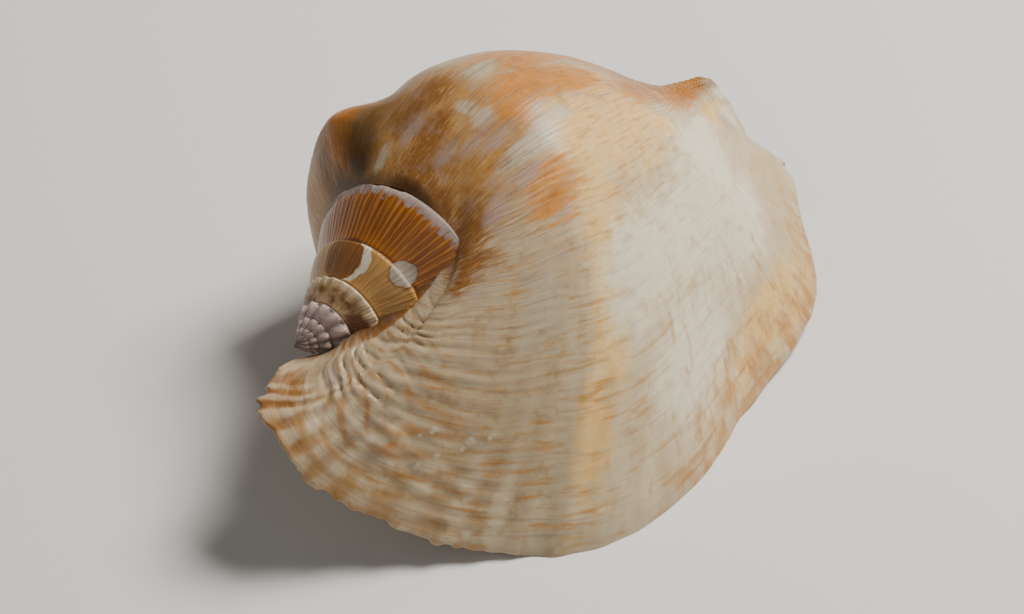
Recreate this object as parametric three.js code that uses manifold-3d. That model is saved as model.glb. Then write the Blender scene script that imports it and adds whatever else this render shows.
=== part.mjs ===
// A wide-lipped conch shell, lying mouth down on a table as such a shell rests.
// It grew as one piece: a coiled spire, a body whorl with a shoulder, and a broad wing of a lip
// that sweeps from beside the spire, past the tip, out over the mouth and round to the front canal.
// Millimetres and degrees. The shell's own axes, before it is laid down, are: a, along the coiling axis
// from the tip of the spire to the front canal; w, out to the wing; d, up to the back of the shell.
import * as THREE from "three";
import { mergeVertices } from "three/addons/utils/BufferGeometryUtils.js";
import Module from "manifold-3d";

// Spire: a flat-sided cone of whorls, each a fixed ratio larger than the one before
const SPIRE_LENGTH = 37; // tip to the last suture on the back of the shell
const SPIRE_SLOPE = 0.72; // radius gained for each millimetre of axis
const SPIRE_RATIO = 1.52; // size of a whorl against the one before
const SPIRE_WHORLS = 6;
const NODULES_END = [9, 13]; // axis positions between which the nodules of the young whorls fade out
const NODULE_COUNT = 9; // nodules in one turn
const NODULE_RISE = 1.2; // how much they raise the side of a whorl
// Height of a whorl's side over the plain cone, as a share of the radius, from its upper suture (0)
// over its rim to the next suture (1)
const WHORL_SIDE = [[0, -0.02], [0.4, 0.035], [0.8, 0.075], [0.96, 0.06], [1, -0.02]];

// Body whorl and wing: spiral lines, from the suture to the front canal. Each starts on the back of the
// shell, at an axis position and radius, and ends on the lip's edge, at a, w and d.
const SPIRAL_LINES = [
  { back: [SPIRE_LENGTH, 26.2], lip: [7, 4.5, -4] },
  { back: [39, 28.2], lip: [-2, 1.2, -4] },
  { back: [41, 29.8], lip: [-10, 1.5, -4] },
  { back: [44, 32], lip: [-16.4, 5.8, -6.5] },
  { back: [48, 35], lip: [-18.4, 17.8, -12] },
  { back: [53, 38.3], lip: [-13, 27, -22] },
  { back: [59, 41.4], lip: [3, 44, -34] },
  { back: [66, 43.2], lip: [19, 58.5, -37.9] },
  { back: [74, 42.7], lip: [39, 70.5, -38.1] },
  { back: [83, 40.2], lip: [65, 71.4, -35.6] },
  { back: [92, 36], lip: [92, 63.8, -32] },
  { back: [101, 30.6], lip: [117, 58, -27] },
  { back: [109, 24.5], lip: [130, 51.5, -23] },
  { back: [118, 16.8], lip: [142, 34, -17] },
  { back: [128, 10], lip: [151, 21, -14] },
  { back: [136, 7.4], lip: [146.5, 15, -10.5] },
  { back: [143, 6], lip: [146.5, 12, -9] },
];
const BODY_RATIO = 1.5; // radius of the body whorl against the whorl before
const BROW = 0.8; // how far the wing runs on level from the back, in radii
const HOLLOW_START = -100; // growth angle at which the whorl turns hollow, 0 on the back of the shell
const ROOT_DEPTH = 0.06; // how far the wall's root lies inside the solid part that it grows from
// Shoulder of the body whorl: it rises and falls between these spiral lines, runs round the far side
// and ends in a knob between these growth angles
const SHOULDER = { from: [0.02, 0.24], to: [0.22, 0.42], end: [-58, -28], rise: 11.4, lean: -1.5 };
const SEAM = 0.05; // how far the whorl's start lies inside the whorl before it, where the core's ends meet
const BODY_FORMS = [-330, -190]; // growth angles between which the spire's last whorl becomes the body whorl
const SUTURE_REACH = [0, 0.6]; // share of the spiral lines that follow the suture as it climbs

// Wing's inner edge: it climbs the spire from the suture and ends under the tip. Axis position, turn and
// share of the spire's radius.
const EDGE_ON_SPIRE = [
  [SPIRE_LENGTH, 0, 0.985], [36.4, 13, 0.97], [35.3, 25, 0.95], [33.4, 35, 0.94], [29.6, 42.5, 0.94],
  [24, 51, 0.94], [18, 61, 0.94], [12, 75, 0.94], [7, 128, 0.94],
];
const EDGE_REACH = [0.02, 0.3]; // spiral lines over which the wing leaves the spire and takes its own bend
const EDGE_DEPTH = 2.2; // how far the wing's inner edge sinks into the spire
const EDGE_KEPT = 0.4; // least share of the spire's radius that is left under that edge

// Valley beside the spire: the wing sags out and down between these spiral lines
const VALLEY = { from: [0, 0.12], to: [0.2, 0.5], out: 6, down: 6 };
const VALLEY_PEAK = 6.75; // makes t * t * (1 - t) peak at 1

// Wall
const BODY_WALL = 5;
const LIP_WALL = 2.8;
const CANAL_WALL = 2.6;
const WING_THINS = [0, 0.8]; // from the back towards the lip's edge
const CANAL_THINS = [0.8, 1]; // along the spiral lines
const LIP_ROUND = 0.45; // bulge of the lip's edge, in walls

// Columella: the pillar that the whorls coil round, set off from the axis at its front end
const PILLAR_RADIUS = 4;
const PILLAR_OFFSET = 0.6; // share of its radius, away from the wing
const PILLAR_END = 144;
const PILLAR_TAPER = 0.25; // over its bare end
const PILLAR_TIP = 1.3;

// Lie of the shell on the table
const PITCH = 5; // front end down
const AXIS_HEIGHT = 40.5; // axis above the table at the tip
const TABLE_SIZE = 500;

// Facets
const ALONG_LIP = 56; // steps along the spiral lines; every second one is left out past the lobe
const LOBE_ENDS = 18;
const ROUND_CORE = 36;
const ROUND_BODY = 10;
const OUT_WING = 15;

const SHELL_COLOUR = "#d8bd95";

const wasm = await Module();
wasm.setup();

const { lerp, degToRad, smoothstep } = THREE.MathUtils;
const backLine = curveThrough(SPIRAL_LINES.map((line) => [line.back[0], 0, line.back[1]]));
const lipEdge = curveThrough(SPIRAL_LINES.map((line) => line.lip));
const edgeLine = curveThrough(EDGE_ON_SPIRE);
const columns = [];
for (let i = 0; i <= ALONG_LIP; i += i < LOBE_ENDS ? 1 : 2) columns.push(i / ALONG_LIP);

function curveThrough(points) {
  return new THREE.CatmullRomCurve3(points.map((p) => new THREE.Vector3(...p)), false, "catmullrom", 0.5);
}

// A point at an axis position, a radius and a turn about the axis: 0 is the back, 90 the wing side.
function polar(a, radius, turn) {
  const around = degToRad(turn % 360);
  return new THREE.Vector3(a, radius * Math.sin(around), radius * Math.cos(around));
}

// Smooth steps over a range: from 0 up to 1, and from 1 down to 0.
function rise(x, [from, to]) {
  return smoothstep(x, from, to);
}

function fall(x, range) {
  return 1 - rise(x, range);
}

// Axis position of the suture at a growth angle.
function sutureAt(angle) {
  return SPIRE_LENGTH * SPIRE_RATIO ** (angle / 360);
}

// Whorls between the suture at a growth angle and an axis position.
function whorlsPast(angle, a) {
  return Math.log(a / sutureAt(angle)) / Math.log(SPIRE_RATIO);
}

// Radius of the spire at an axis position: the cone, the side of its whorl and the young whorls' nodules.
function spireRadius(a, angle) {
  const past = whorlsPast(angle, a);
  const share = past - Math.floor(past);
  const end = WHORL_SIDE.findIndex((row) => row[0] > share);
  const [from, to] = [WHORL_SIDE[end - 1], WHORL_SIDE[end]];
  const side = lerp(from[1], to[1], (share - from[0]) / (to[0] - from[0]));
  const young = fall(a, NODULES_END);
  const nodule = Math.max(0, Math.cos(degToRad((angle % 360) * NODULE_COUNT)));
  return SPIRE_SLOPE * a * (1 + side * (1 + NODULE_RISE * young * nodule));
}

// Spire rows at a growth angle, from the tip to the suture, as [axis position, radius].
function spireRows(angle) {
  const rows = [];
  const tip = sutureAt(HOLLOW_START - 360 * SPIRE_WHORLS);
  for (let whorl = SPIRE_WHORLS; whorl > 0; whorl--) {
    for (const [share] of WHORL_SIDE.slice(0, -1)) {
      const a = Math.max(sutureAt(angle - 360 * (whorl - share)), tip);
      rows.push([a, spireRadius(a, angle)]);
    }
  }
  return rows;
}

// Body whorl at s along the spiral lines (0 suture, 1 canal) and a growth angle, as [axis position, radius].
// A turn earlier it is the last whorl of the spire.
function bodyRow(s, angle) {
  const line = backLine.getPoint(s);
  const grown = rise(angle, BODY_FORMS);
  const size = BODY_RATIO ** (angle / 360);
  const nearSuture = fall(s, SUTURE_REACH);
  const shift = (SPIRE_LENGTH - sutureAt(angle)) * nearSuture;
  const frontShift = line.x * (1 - lerp(size, 1, grown)) * (1 - nearSuture);
  const a = line.x - shift - frontShift;
  const radius = line.z * size;
  const shoulder = grown * size * rise(s, SHOULDER.from) * fall(s, SHOULDER.to) * fall(angle, SHOULDER.end);
  const young = whorlsPast(angle, a) < 1 ? spireRadius(a, angle) - Math.min(s, SEAM) : radius;
  return [a + SHOULDER.lean * shoulder, lerp(young, radius, grown) + SHOULDER.rise * shoulder];
}

// Radius of the columella, which leans away from the wing.
function pillarRadius(angle) {
  return PILLAR_RADIUS * (1 - PILLAR_OFFSET * Math.sin(degToRad(angle)));
}

// Whole outline at a growth angle, from the tip of the spire to the end of the columella.
function coreOutline(angle) {
  const rows = spireRows(angle);
  for (const s of columns) {
    const [a, radius] = bodyRow(s, angle);
    rows.push([a, Math.max(radius, pillarRadius(angle))]);
  }
  rows.push([PILLAR_END, pillarRadius(angle) * (1 - PILLAR_TAPER)]);
  return rows;
}

// Outer face of the wing: each spiral line leaves the back level and bends down to the lip's edge.
// The first few are drawn in to meet the spire, and sag into the valley beside it.
function wingPoint(s, t) {
  const bend = (u) => {
    const start = backLine.getPoint(u);
    const climb = Math.log(BODY_RATIO) / (2 * Math.PI);
    const brow = start.clone().add(new THREE.Vector3(0, 1, climb).multiplyScalar(BROW * start.z));
    return new THREE.QuadraticBezierCurve3(start, brow, lipEdge.getPoint(u)).getPoint(t);
  };
  const pull = fall(s, EDGE_REACH);
  const valley = rise(s, VALLEY.from) * fall(s, VALLEY.to) * VALLEY_PEAK * t * t * (1 - t);
  const sag = new THREE.Vector3(0, VALLEY.out, -VALLEY.down).multiplyScalar(valley);
  return bend(s).addScaledVector(edgeOnSpire(t).sub(bend(0)), pull).add(sag);
}

// Where the wing's inner edge meets the spire.
function edgeOnSpire(t) {
  const { x: a, y: turn, z: share } = edgeLine.getPoint(t);
  return polar(a, share * SPIRE_SLOPE * a, turn);
}

// Outer face of the hollow part of the shell. Row u runs from where it turns hollow (-1), over the back (0),
// to the lip's edge (1).
function outerPoint(s, u) {
  if (u > 0) return wingPoint(s, u);
  const angle = -u * (HOLLOW_START - 360 / ROUND_CORE);
  const [a, radius] = bodyRow(s, angle);
  return polar(a, radius, angle);
}

// Sinks a point towards the axis.
function sink(point, depth) {
  const radius = Math.hypot(point.y, point.z);
  const left = Math.max(radius - depth, radius * EDGE_KEPT) / radius;
  return new THREE.Vector3(point.x, point.y * left, point.z * left);
}

function wallAt(s, u) {
  const wall = lerp(BODY_WALL, LIP_WALL, rise(u, WING_THINS));
  return lerp(wall, CANAL_WALL, rise(s, CANAL_THINS));
}

// Hollow whorl and wing as one closed wall: an outer face, an inner face a wall below it, and a round lip.
function hollowWall() {
  const rows = [];
  for (let j = 0; j <= ROUND_BODY; j++) rows.push(-1 + j / ROUND_BODY);
  for (let j = 1; j <= OUT_WING; j++) rows.push(j / OUT_WING);
  const outer = rows.map((u) => columns.map((s) => outerPoint(s, u)));
  outer[0] = outer[0].map((p) => sink(p, ROOT_DEPTH));
  const inner = rows.map((u, j) =>
    columns.map((s, i) => outer[j][i].clone().addScaledVector(normalAt(outer, j, i), -wallAt(s, u))),
  );
  const last = rows.length - 1;
  const rim = columns.map((s, i) => {
    const outward = outer[last][i].clone().sub(outer[last - 1][i]).normalize();
    return outer[last][i].clone().lerp(inner[last][i], 0.5).addScaledVector(outward, LIP_ROUND * wallAt(s, 1));
  });
  outer.push(rim);
  inner.push(rim);
  for (const row of new Set([...outer, ...inner])) row.unshift(sink(row[0], EDGE_DEPTH));
  return solidOf([...gridFaces(outer), ...gridFaces(inner).map(flipped), ...borderFaces(outer, inner)]);
}

// Outward normal of a grid of points at row j, column i.
function normalAt(grid, j, i) {
  const row = grid.length - 1;
  const column = grid[0].length - 1;
  const along = grid[j][Math.min(i + 1, column)].clone().sub(grid[j][Math.max(i - 1, 0)]);
  const across = grid[Math.min(j + 1, row)][i].clone().sub(grid[Math.max(j - 1, 0)][i]);
  return along.cross(across).normalize();
}

// Triangles of a grid, facing out.
function gridFaces(grid) {
  const faces = [];
  for (let j = 0; j + 1 < grid.length; j++) {
    for (let i = 0; i + 1 < grid[j].length; i++) {
      const [p, q, r, t] = [grid[j][i], grid[j][i + 1], grid[j + 1][i + 1], grid[j + 1][i]];
      faces.push([p, r, q], [p, t, r]);
    }
  }
  return faces;
}

function flipped([p, q, r]) {
  return [p, r, q];
}

// Strips that join the start and the two sides of an outer grid to those of an inner one.
function borderFaces(outer, inner) {
  const end = outer[0].length - 1;
  const start = gridFaces([inner[0], outer[0]]);
  const suture = gridFaces([outer.map((row) => row[0]), inner.map((row) => row[0])]);
  const canal = gridFaces([inner.map((row) => row[end]), outer.map((row) => row[end])]);
  return [...start, ...suture, ...canal];
}

// Solid coiled core: one whole turn of outlines up to where the shell turns hollow, closed at the tip,
// at the foot of the columella and on the flat step between the last outline and the first.
function core() {
  const outlines = [];
  for (let j = 0; j <= ROUND_CORE; j++) {
    const angle = HOLLOW_START - 360 + (360 * j) / ROUND_CORE;
    outlines.push(coreOutline(angle).map(([a, radius]) => polar(a, radius, angle)));
  }
  const faces = gridFaces(outlines);
  const tip = new THREE.Vector3(0, 0, 0);
  const foot = new THREE.Vector3(PILLAR_END + PILLAR_TIP, 0, 0);
  for (let j = 0; j < ROUND_CORE; j++) {
    const [here, next] = [outlines[j], outlines[j + 1]];
    faces.push([tip, next[0], here[0]], [foot, here[here.length - 1], next[next.length - 1]]);
  }
  return solidOf([...faces, ...stepFaces(outlines[ROUND_CORE], outlines[0])]);
}

// Flat step between the last outline of the core and the first, past the suture that they share.
function stepFaces(last, first) {
  const whorl = WHORL_SIDE.length - 1;
  const suture = SPIRE_WHORLS * whorl;
  const points = [...last.slice(suture - whorl), ...first.slice(suture + 1, -1).reverse()];
  const flat = points.map((p) => new THREE.Vector2(p.x, Math.hypot(p.y, p.z)));
  return THREE.ShapeUtils.triangulateShape(flat, []).map((face) => face.map((i) => points[i]));
}

// A closed set of triangles as a solid, laid on the table. The w axis points to -Y, so that X, Y and Z
// are a right-handed set.
function solidOf(faces) {
  const whole = faces.filter(([p, q, r]) => !p.equals(q) && !q.equals(r) && !r.equals(p));
  const positions = whole.flat().flatMap((p) => [p.x, -p.y, p.z]);
  const loose = new THREE.BufferGeometry();
  loose.setAttribute("position", new THREE.Float32BufferAttribute(positions, 3));
  return toSolid(loose.rotateY(degToRad(PITCH)).translate(0, 0, AXIS_HEIGHT));
}

function toSolid(geometry) {
  geometry.deleteAttribute("normal");
  geometry.deleteAttribute("uv");
  const merged = mergeVertices(geometry, 1e-4);
  const mesh = new wasm.Mesh({
    numProp: 3,
    vertProperties: merged.getAttribute("position").array,
    triVerts: new Uint32Array(merged.index.array),
  });
  return new wasm.Manifold(mesh);
}

function toGeometry(solid) {
  const mesh = solid.getMesh();
  const geometry = new THREE.BufferGeometry();
  geometry.setAttribute("position", new THREE.BufferAttribute(mesh.vertProperties, 3));
  geometry.setIndex(new THREE.BufferAttribute(mesh.triVerts, 1));
  return geometry;
}

// The shell laid on the table, worn flat where it touches, with the origin under the middle of its box.
function shellGeometry() {
  const table = toSolid(new THREE.BoxGeometry(TABLE_SIZE, TABLE_SIZE, TABLE_SIZE).translate(0, 0, -TABLE_SIZE / 2));
  const geometry = toGeometry(core().add(hollowWall()).subtract(table));
  geometry.computeBoundingBox();
  const middleOfBox = geometry.boundingBox.getCenter(new THREE.Vector3());
  geometry.translate(-middleOfBox.x, -middleOfBox.y, 0);
  geometry.computeVertexNormals();
  return geometry;
}

const material = new THREE.MeshStandardMaterial({ color: SHELL_COLOUR, roughness: 0.4, metalness: 0 });
const shell = new THREE.Mesh(shellGeometry(), material);
shell.name = "shell";

const conch = new THREE.Group();
conch.add(shell);

export default conch;
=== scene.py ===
import math

import bmesh
import bpy
import numpy as np
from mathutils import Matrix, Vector


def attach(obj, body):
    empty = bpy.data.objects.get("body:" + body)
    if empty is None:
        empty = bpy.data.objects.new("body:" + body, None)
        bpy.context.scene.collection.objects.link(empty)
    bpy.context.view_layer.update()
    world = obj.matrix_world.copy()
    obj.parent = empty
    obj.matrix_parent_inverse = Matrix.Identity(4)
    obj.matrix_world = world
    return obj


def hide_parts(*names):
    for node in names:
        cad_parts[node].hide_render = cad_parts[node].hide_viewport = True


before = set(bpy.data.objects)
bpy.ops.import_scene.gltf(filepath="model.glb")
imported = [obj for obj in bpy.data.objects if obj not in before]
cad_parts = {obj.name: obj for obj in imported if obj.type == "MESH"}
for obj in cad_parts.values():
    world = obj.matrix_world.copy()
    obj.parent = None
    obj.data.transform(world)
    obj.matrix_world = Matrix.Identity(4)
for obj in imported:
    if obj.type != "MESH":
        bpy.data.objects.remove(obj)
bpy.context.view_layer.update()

# Shell: one piece of layered lime, grown by the animal as a coil that widens from the tip of the spire
# to the broad wing of the lip. Its outside is worn and chalky, and its mouth is lined with smooth glaze.
# Sizes are in millimetres: a runs along the coiling axis from the tip, w out to the wing, d up to the back.
MM = 0.001
PITCH = math.radians(5)
AXIS_HEIGHT = 40.5
BOX_MIDDLE = (64.519, -15.177)


def lay_down(points):
    """From the shell's own axes to its place on the table, in metres."""
    a, w, d = points[..., 0], points[..., 1], points[..., 2]
    x = a * math.cos(PITCH) + d * math.sin(PITCH) - BOX_MIDDLE[0]
    z = d * math.cos(PITCH) - a * math.sin(PITCH) + AXIS_HEIGHT
    return MM * np.stack([x, -w - BOX_MIDDLE[1], z], -1)


def polar(a, radius, turn):
    """Points at an axis position, a radius and a turn in degrees: 0 is the back, 90 the wing side."""
    turn = np.radians(turn)
    return np.stack([a, radius * np.sin(turn), radius * np.cos(turn)], -1)


def rise(x, span):
    """Smooth step from 0 to 1 over a span."""
    t = np.clip((x - span[0]) / (span[1] - span[0]), 0, 1)
    return t * t * (3 - 2 * t)


def fall(x, span):
    """Smooth step from 1 to 0 over a span."""
    return 1 - rise(x, span)


def inside(x, start, end):
    """Smooth step up over one span and down again over a later one."""
    return rise(x, start) * fall(x, end)


# Large factors that scatter the values at the knots of a lattice
SCATTER = (127.1, 311.7, 74.7)
SCATTER_SCALE = 43758.55


def wander(x, y, steps, seed):
    """Smooth noise between -1 and 1, with a number of steps in a unit of x and in a unit of y."""
    x = x * steps[0]
    y = y * steps[1]
    column = np.floor(x)
    row = np.floor(y)
    across = rise(x - column, (0, 1))
    along = rise(y - row, (0, 1))

    def knot(i, j):
        scattered = np.sin(i * SCATTER[0] + j * SCATTER[1] + seed * SCATTER[2])
        return 2 * np.modf(np.abs(scattered * SCATTER_SCALE))[0] - 1

    low = knot(column, row) * (1 - across) + knot(column + 1, row) * across
    high = knot(column, row + 1) * (1 - across) + knot(column + 1, row + 1) * across
    return low * (1 - along) + high * along


def curve_through(points):
    """A smooth curve through points, as a function of the share of the way along it."""
    points = np.array(points, float)
    run = np.vstack([2 * points[0] - points[1], points, 2 * points[-1] - points[-2]])

    def at(share):
        place = np.clip(share, 0, 1) * (len(points) - 1)
        first = np.minimum(place.astype(int), len(points) - 2)
        t = (place - first)[..., None]
        before, start, end, after = (run[first + k] for k in range(4))
        leave = (end - before) / 2
        arrive = (after - start) / 2
        bend = 3 * (end - start) - 2 * leave - arrive
        twist = 2 * (start - end) + leave + arrive
        return start + leave * t + bend * t**2 + twist * t**3

    return at


# Spire: whorls that each grow by a fixed ratio, ribbed when young, then beaded, then crusted on the rim.
# Places across a whorl are shares of it, from its suture on the tip's side to the next suture.
SPIRE_LENGTH = 37
SPIRE_SLOPE = 0.72
SPIRE_RATIO = 1.52
SPIRE_WHORLS = 6
SPIRE_TIP = 0.4
SIDE_RISE = 0.095
SIDE_SPANS = ((0.02, 0.72), (0.86, 1))
SUTURE_DIP = 0.02
YOUNG_BULGE = 0.16
YOUNG_DIP = 0.08
RIBS_END = (9, 14)
RIB_COUNT = 12
RIB_RISE = 0.75
RIB_RISE_AT = 10
RIB_SPANS = ((0.05, 0.5), (0.8, 1))
CORD_COUNT = 4
CORD_RISE = 0.1
CORDS_END = (0.9, 1)
RIM_SPANS = ((0.6, 0.8), (0.88, 1))
BEADS_END = (17, 21)
BEAD_COUNT = 26
BEAD_RISE = 0.24
CRUST_START = (26, 30)
CRUST_RISE = 0.3
CRUST_STEPS = (1 / 3.5, 14)


def suture_at(angle):
    """Axis position of the suture at an angle along the coil, in degrees from the back of the last whorl."""
    return SPIRE_LENGTH * SPIRE_RATIO ** (angle / 360)


def whorls_past(angle, a):
    """How many whorls an axis position lies past the suture at an angle."""
    return np.log(a / suture_at(angle)) / math.log(SPIRE_RATIO)


def spire_radius(a, angle):
    """Radius of the spire: the cone, a rim on each whorl, and what stands on the rims."""
    past = whorls_past(angle, a)
    share = past - np.floor(past)
    grown = angle + 360 * np.floor(past)
    side = SIDE_RISE * inside(share, *SIDE_SPANS) - SUTURE_DIP
    young = fall(a, RIBS_END)
    side += young * (YOUNG_BULGE * np.sin(np.pi * share) - YOUNG_DIP - side)
    ribs = np.cos(np.radians(grown * RIB_COUNT)) * inside(share, *RIB_SPANS)
    cords = np.cos(2 * np.pi * CORD_COUNT * share) * fall(share, CORDS_END)
    on_rim = inside(share, *RIM_SPANS)
    beads = rise(a, RIBS_END) * fall(a, BEADS_END) * on_rim * np.cos(np.radians(grown * BEAD_COUNT))
    crust = rise(a, CRUST_START) * on_rim * wander(grown, share, CRUST_STEPS, seed=5)
    young_relief = young * (RIB_RISE * ribs * a / RIB_RISE_AT + CORD_RISE * cords)
    return SPIRE_SLOPE * a * (1 + side) + young_relief + BEAD_RISE * beads + CRUST_RISE * crust


# Body whorl and wing: spiral lines from the suture to the front canal, each with its axis position and
# radius on the back, then a, w and d on the lip's edge
SPIRAL_LINES = [
    ((37, 26.2), (7, 4.5, -4)),
    ((39, 28.2), (-2, 1.2, -4)),
    ((41, 29.8), (-10, 1.5, -4)),
    ((44, 32), (-16.4, 5.8, -6.5)),
    ((48, 35), (-18.4, 17.8, -12)),
    ((53, 38.3), (-13, 27, -22)),
    ((59, 41.4), (3, 44, -34)),
    ((66, 43.2), (19, 58.5, -37.9)),
    ((74, 42.7), (39, 70.5, -38.1)),
    ((83, 40.2), (65, 71.4, -35.6)),
    ((92, 36), (92, 63.8, -32)),
    ((101, 30.6), (117, 58, -27)),
    ((109, 24.5), (130, 51.5, -23)),
    ((118, 16.8), (142, 34, -17)),
    ((128, 10), (151, 21, -14)),
    ((136, 7.4), (146.5, 15, -10.5)),
    ((143, 6), (146.5, 12, -9)),
]
BODY_RATIO = 1.5
BODY_FORMS = (-330, -190)
SUTURE_REACH = (0, 0.6)
SEAM = 0.05
SHOULDER_LINES = ((0.02, 0.24), (0.22, 0.42))
SHOULDER_END = (-58, -28)
SHOULDER_RISE = 11.4
SHOULDER_LEAN = -1.5
BROW = 0.8
# The wing's inner edge climbs the spire: axis position, turn and share of the spire's radius
EDGE_ON_SPIRE = [
    (37, 0, 0.985), (36.4, 13, 0.97), (35.3, 25, 0.95), (33.4, 35, 0.94), (29.6, 42.5, 0.94),
    (24, 51, 0.94), (18, 61, 0.94), (12, 75, 0.94), (7, 128, 0.94),
]
EDGE_REACH = (0.02, 0.3)
EDGE_DEPTH = 2.2
EDGE_KEPT = 0.4
VALLEY_LINES = ((0, 0.12), (0.2, 0.5))
VALLEY_SAG = (0, 6, -6)
VALLEY_PEAK = 6.75
EASED_LINES = ((0.01, 0.07), (0.14, 0.26))
EASED_GROWTH = ((0.3, 0.5), (0.9, 1))
EASED_REACH = 0.07
HOLLOW_START = -100
WALL_START = -110
TINY = 1e-9

back_line = curve_through([(a, 0, radius) for (a, radius), _ in SPIRAL_LINES])
lip_edge = curve_through([lip for _, lip in SPIRAL_LINES])
edge_line = curve_through(EDGE_ON_SPIRE)


def body_row(s, angle):
    """Axis position and radius of the body whorl on spiral line s at a growth angle."""
    line = back_line(s)
    grown = rise(angle, BODY_FORMS)
    size = BODY_RATIO ** (angle / 360)
    near_suture = fall(s, SUTURE_REACH)
    shift = (SPIRE_LENGTH - suture_at(angle)) * near_suture
    front_shift = line[..., 0] * (1 - size) * (1 - grown) * (1 - near_suture)
    a = line[..., 0] - shift - front_shift
    radius = line[..., 2] * size
    shoulder = grown * size * inside(s, *SHOULDER_LINES) * fall(angle, SHOULDER_END)
    early = np.where(whorls_past(angle, a) < 1, spire_radius(a, angle) - np.minimum(s, SEAM), radius)
    return a + SHOULDER_LEAN * shoulder, early + (radius - early) * grown + SHOULDER_RISE * shoulder


def wing_point(s, t):
    """The wing's outer face: each spiral line leaves the back level and bends down to the lip."""
    share = t[..., None]

    def bend(line):
        start = back_line(line)
        climb = math.log(BODY_RATIO) / (2 * math.pi)
        brow = start + BROW * start[..., 2:] * np.array([0, 1, climb])
        return start * (1 - share) ** 2 + 2 * brow * share * (1 - share) + lip_edge(line) * share**2

    edge = edge_line(t)
    on_spire = polar(edge[..., 0], edge[..., 2] * SPIRE_SLOPE * edge[..., 0], edge[..., 1])
    pull = fall(s, EDGE_REACH)[..., None]
    valley = inside(s, *VALLEY_LINES) * VALLEY_PEAK * t * t * (1 - t)
    sag = valley[..., None] * np.array(VALLEY_SAG)
    return bend(s) + pull * (on_spire - bend(np.zeros_like(s))) + sag


def outer_point(s, u):
    """Outer face from where the whorl turns hollow (-1), over the back (0), to the lip's edge (1)."""
    angle = -WALL_START * np.minimum(u, 0)
    a, radius = body_row(s, angle)
    return np.where((u > 0)[..., None], wing_point(s, np.maximum(u, 0)), polar(a, radius, angle))


def eased_point(s, u):
    """The outer face, with the crease between the wing and the spire drawn smooth."""
    near = inside(s, *EASED_LINES) * inside(u, *EASED_GROWTH)
    point = outer_point(s, u)
    around = (outer_point(s - EASED_REACH, u) + outer_point(s + EASED_REACH, u)) / 2
    return point + near[..., None] * (around - point)


def normals_of(grid):
    """Outward normals of a grid of points, with rows along the growth and columns along the spiral lines."""
    across, along = np.gradient(grid, axis=(0, 1))
    normal = np.cross(along, across)
    return normal / np.maximum(np.linalg.norm(normal, axis=-1, keepdims=True), TINY)


# Relief of the outside: wrinkles beside the spire, ridges and folds that run out over the lobe, a keel down
# the wing, growth lines, fine cords at the canal, and a slow swell and unevenness. Each has its height in
# millimetres, and the spans of spiral lines and of growth over which it comes and goes.
WRINKLE_RISE = 0.7
WRINKLE_COUNT = 23
WRINKLE_BENDS = (0.8, 1.1)
WRINKLE_LEVEL = 0.7
WRINKLE_LINES = ((0.02, 0.14), (0.22, 0.36))
WRINKLE_GROWTH = ((0.42, 0.76), (0.84, 0.95))
RIDGE_RISE = 0.36
RIDGE_COUNT = 25
RIDGE_BEND = 1.5
RIDGE_EVENNESS = 0.55
RIDGE_LINES = ((0.1, 0.18), (0.3, 0.46))
RIDGE_GROWTH = (0.6, 0.85)
FOLD_RISE = 0.24
FOLD_COUNT = 34
FOLD_BEND = 0.5
FOLD_LINES = ((0.14, 0.2), (0.46, 0.56))
FOLD_GROWTH = (0.6, 0.95)
SWELL_RISE = 0.5
SWELL_LINES = (0.2, 0.4)
SWELL_GROWTH = (0, 0.5)
KEEL_RISE = 0.6
KEEL_LINE = 0.475
KEEL_LEAN = 0.03
KEEL_LEANS_FROM = 0.7
KEEL_WIDTH = 0.016
KEEL_GROWTH = (0.35, 0.7)
GROWTH_LINE_RISE = 0.05
GROWTH_LINE_COUNT = 60
GROWTH_LINE_BEND = 1.5
GROWTH_LINE_LINES = (0.06, 0.12)
CANAL_CORD_RISE = 0.16
CANAL_CORD_COUNT = 62
CANAL_CORD_LINES = (0.76, 0.84)
CANAL_CORD_GROWTH = (0.35, 0.6)
UNEVEN_RISE = 0.35
UNEVEN_LINES = (0.05, 0.2)
# A nub and specks of crust on the lobe, each with its spiral line, its growth and its size along the lines
NUB = (0.312, 0.872, 0.02)
NUB_RISE = 1.5
CRUST_SPECKS = [
    (0.34, 0.834, 0.006), (0.371, 0.839, 0.007), (0.397, 0.975, 0.006),
    (0.351, 0.873, 0.005), (0.344, 0.897, 0.005), (0.366, 0.852, 0.004),
    (0.386, 0.83, 0.004), (0.412, 0.955, 0.004), (0.333, 0.85, 0.004),
]
SPECK_RISE = 0.35
SPECK_LENGTH = 2.2
SPECK_SLOPE = (0.1, 1)


def fold_wave(s, u):
    """Waves across the spiral lines, from -1 to 1."""
    bend = FOLD_BEND * wander(s, u, steps=(6, 4), seed=3)
    return np.cos(2 * np.pi * (s * FOLD_COUNT + bend))


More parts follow.
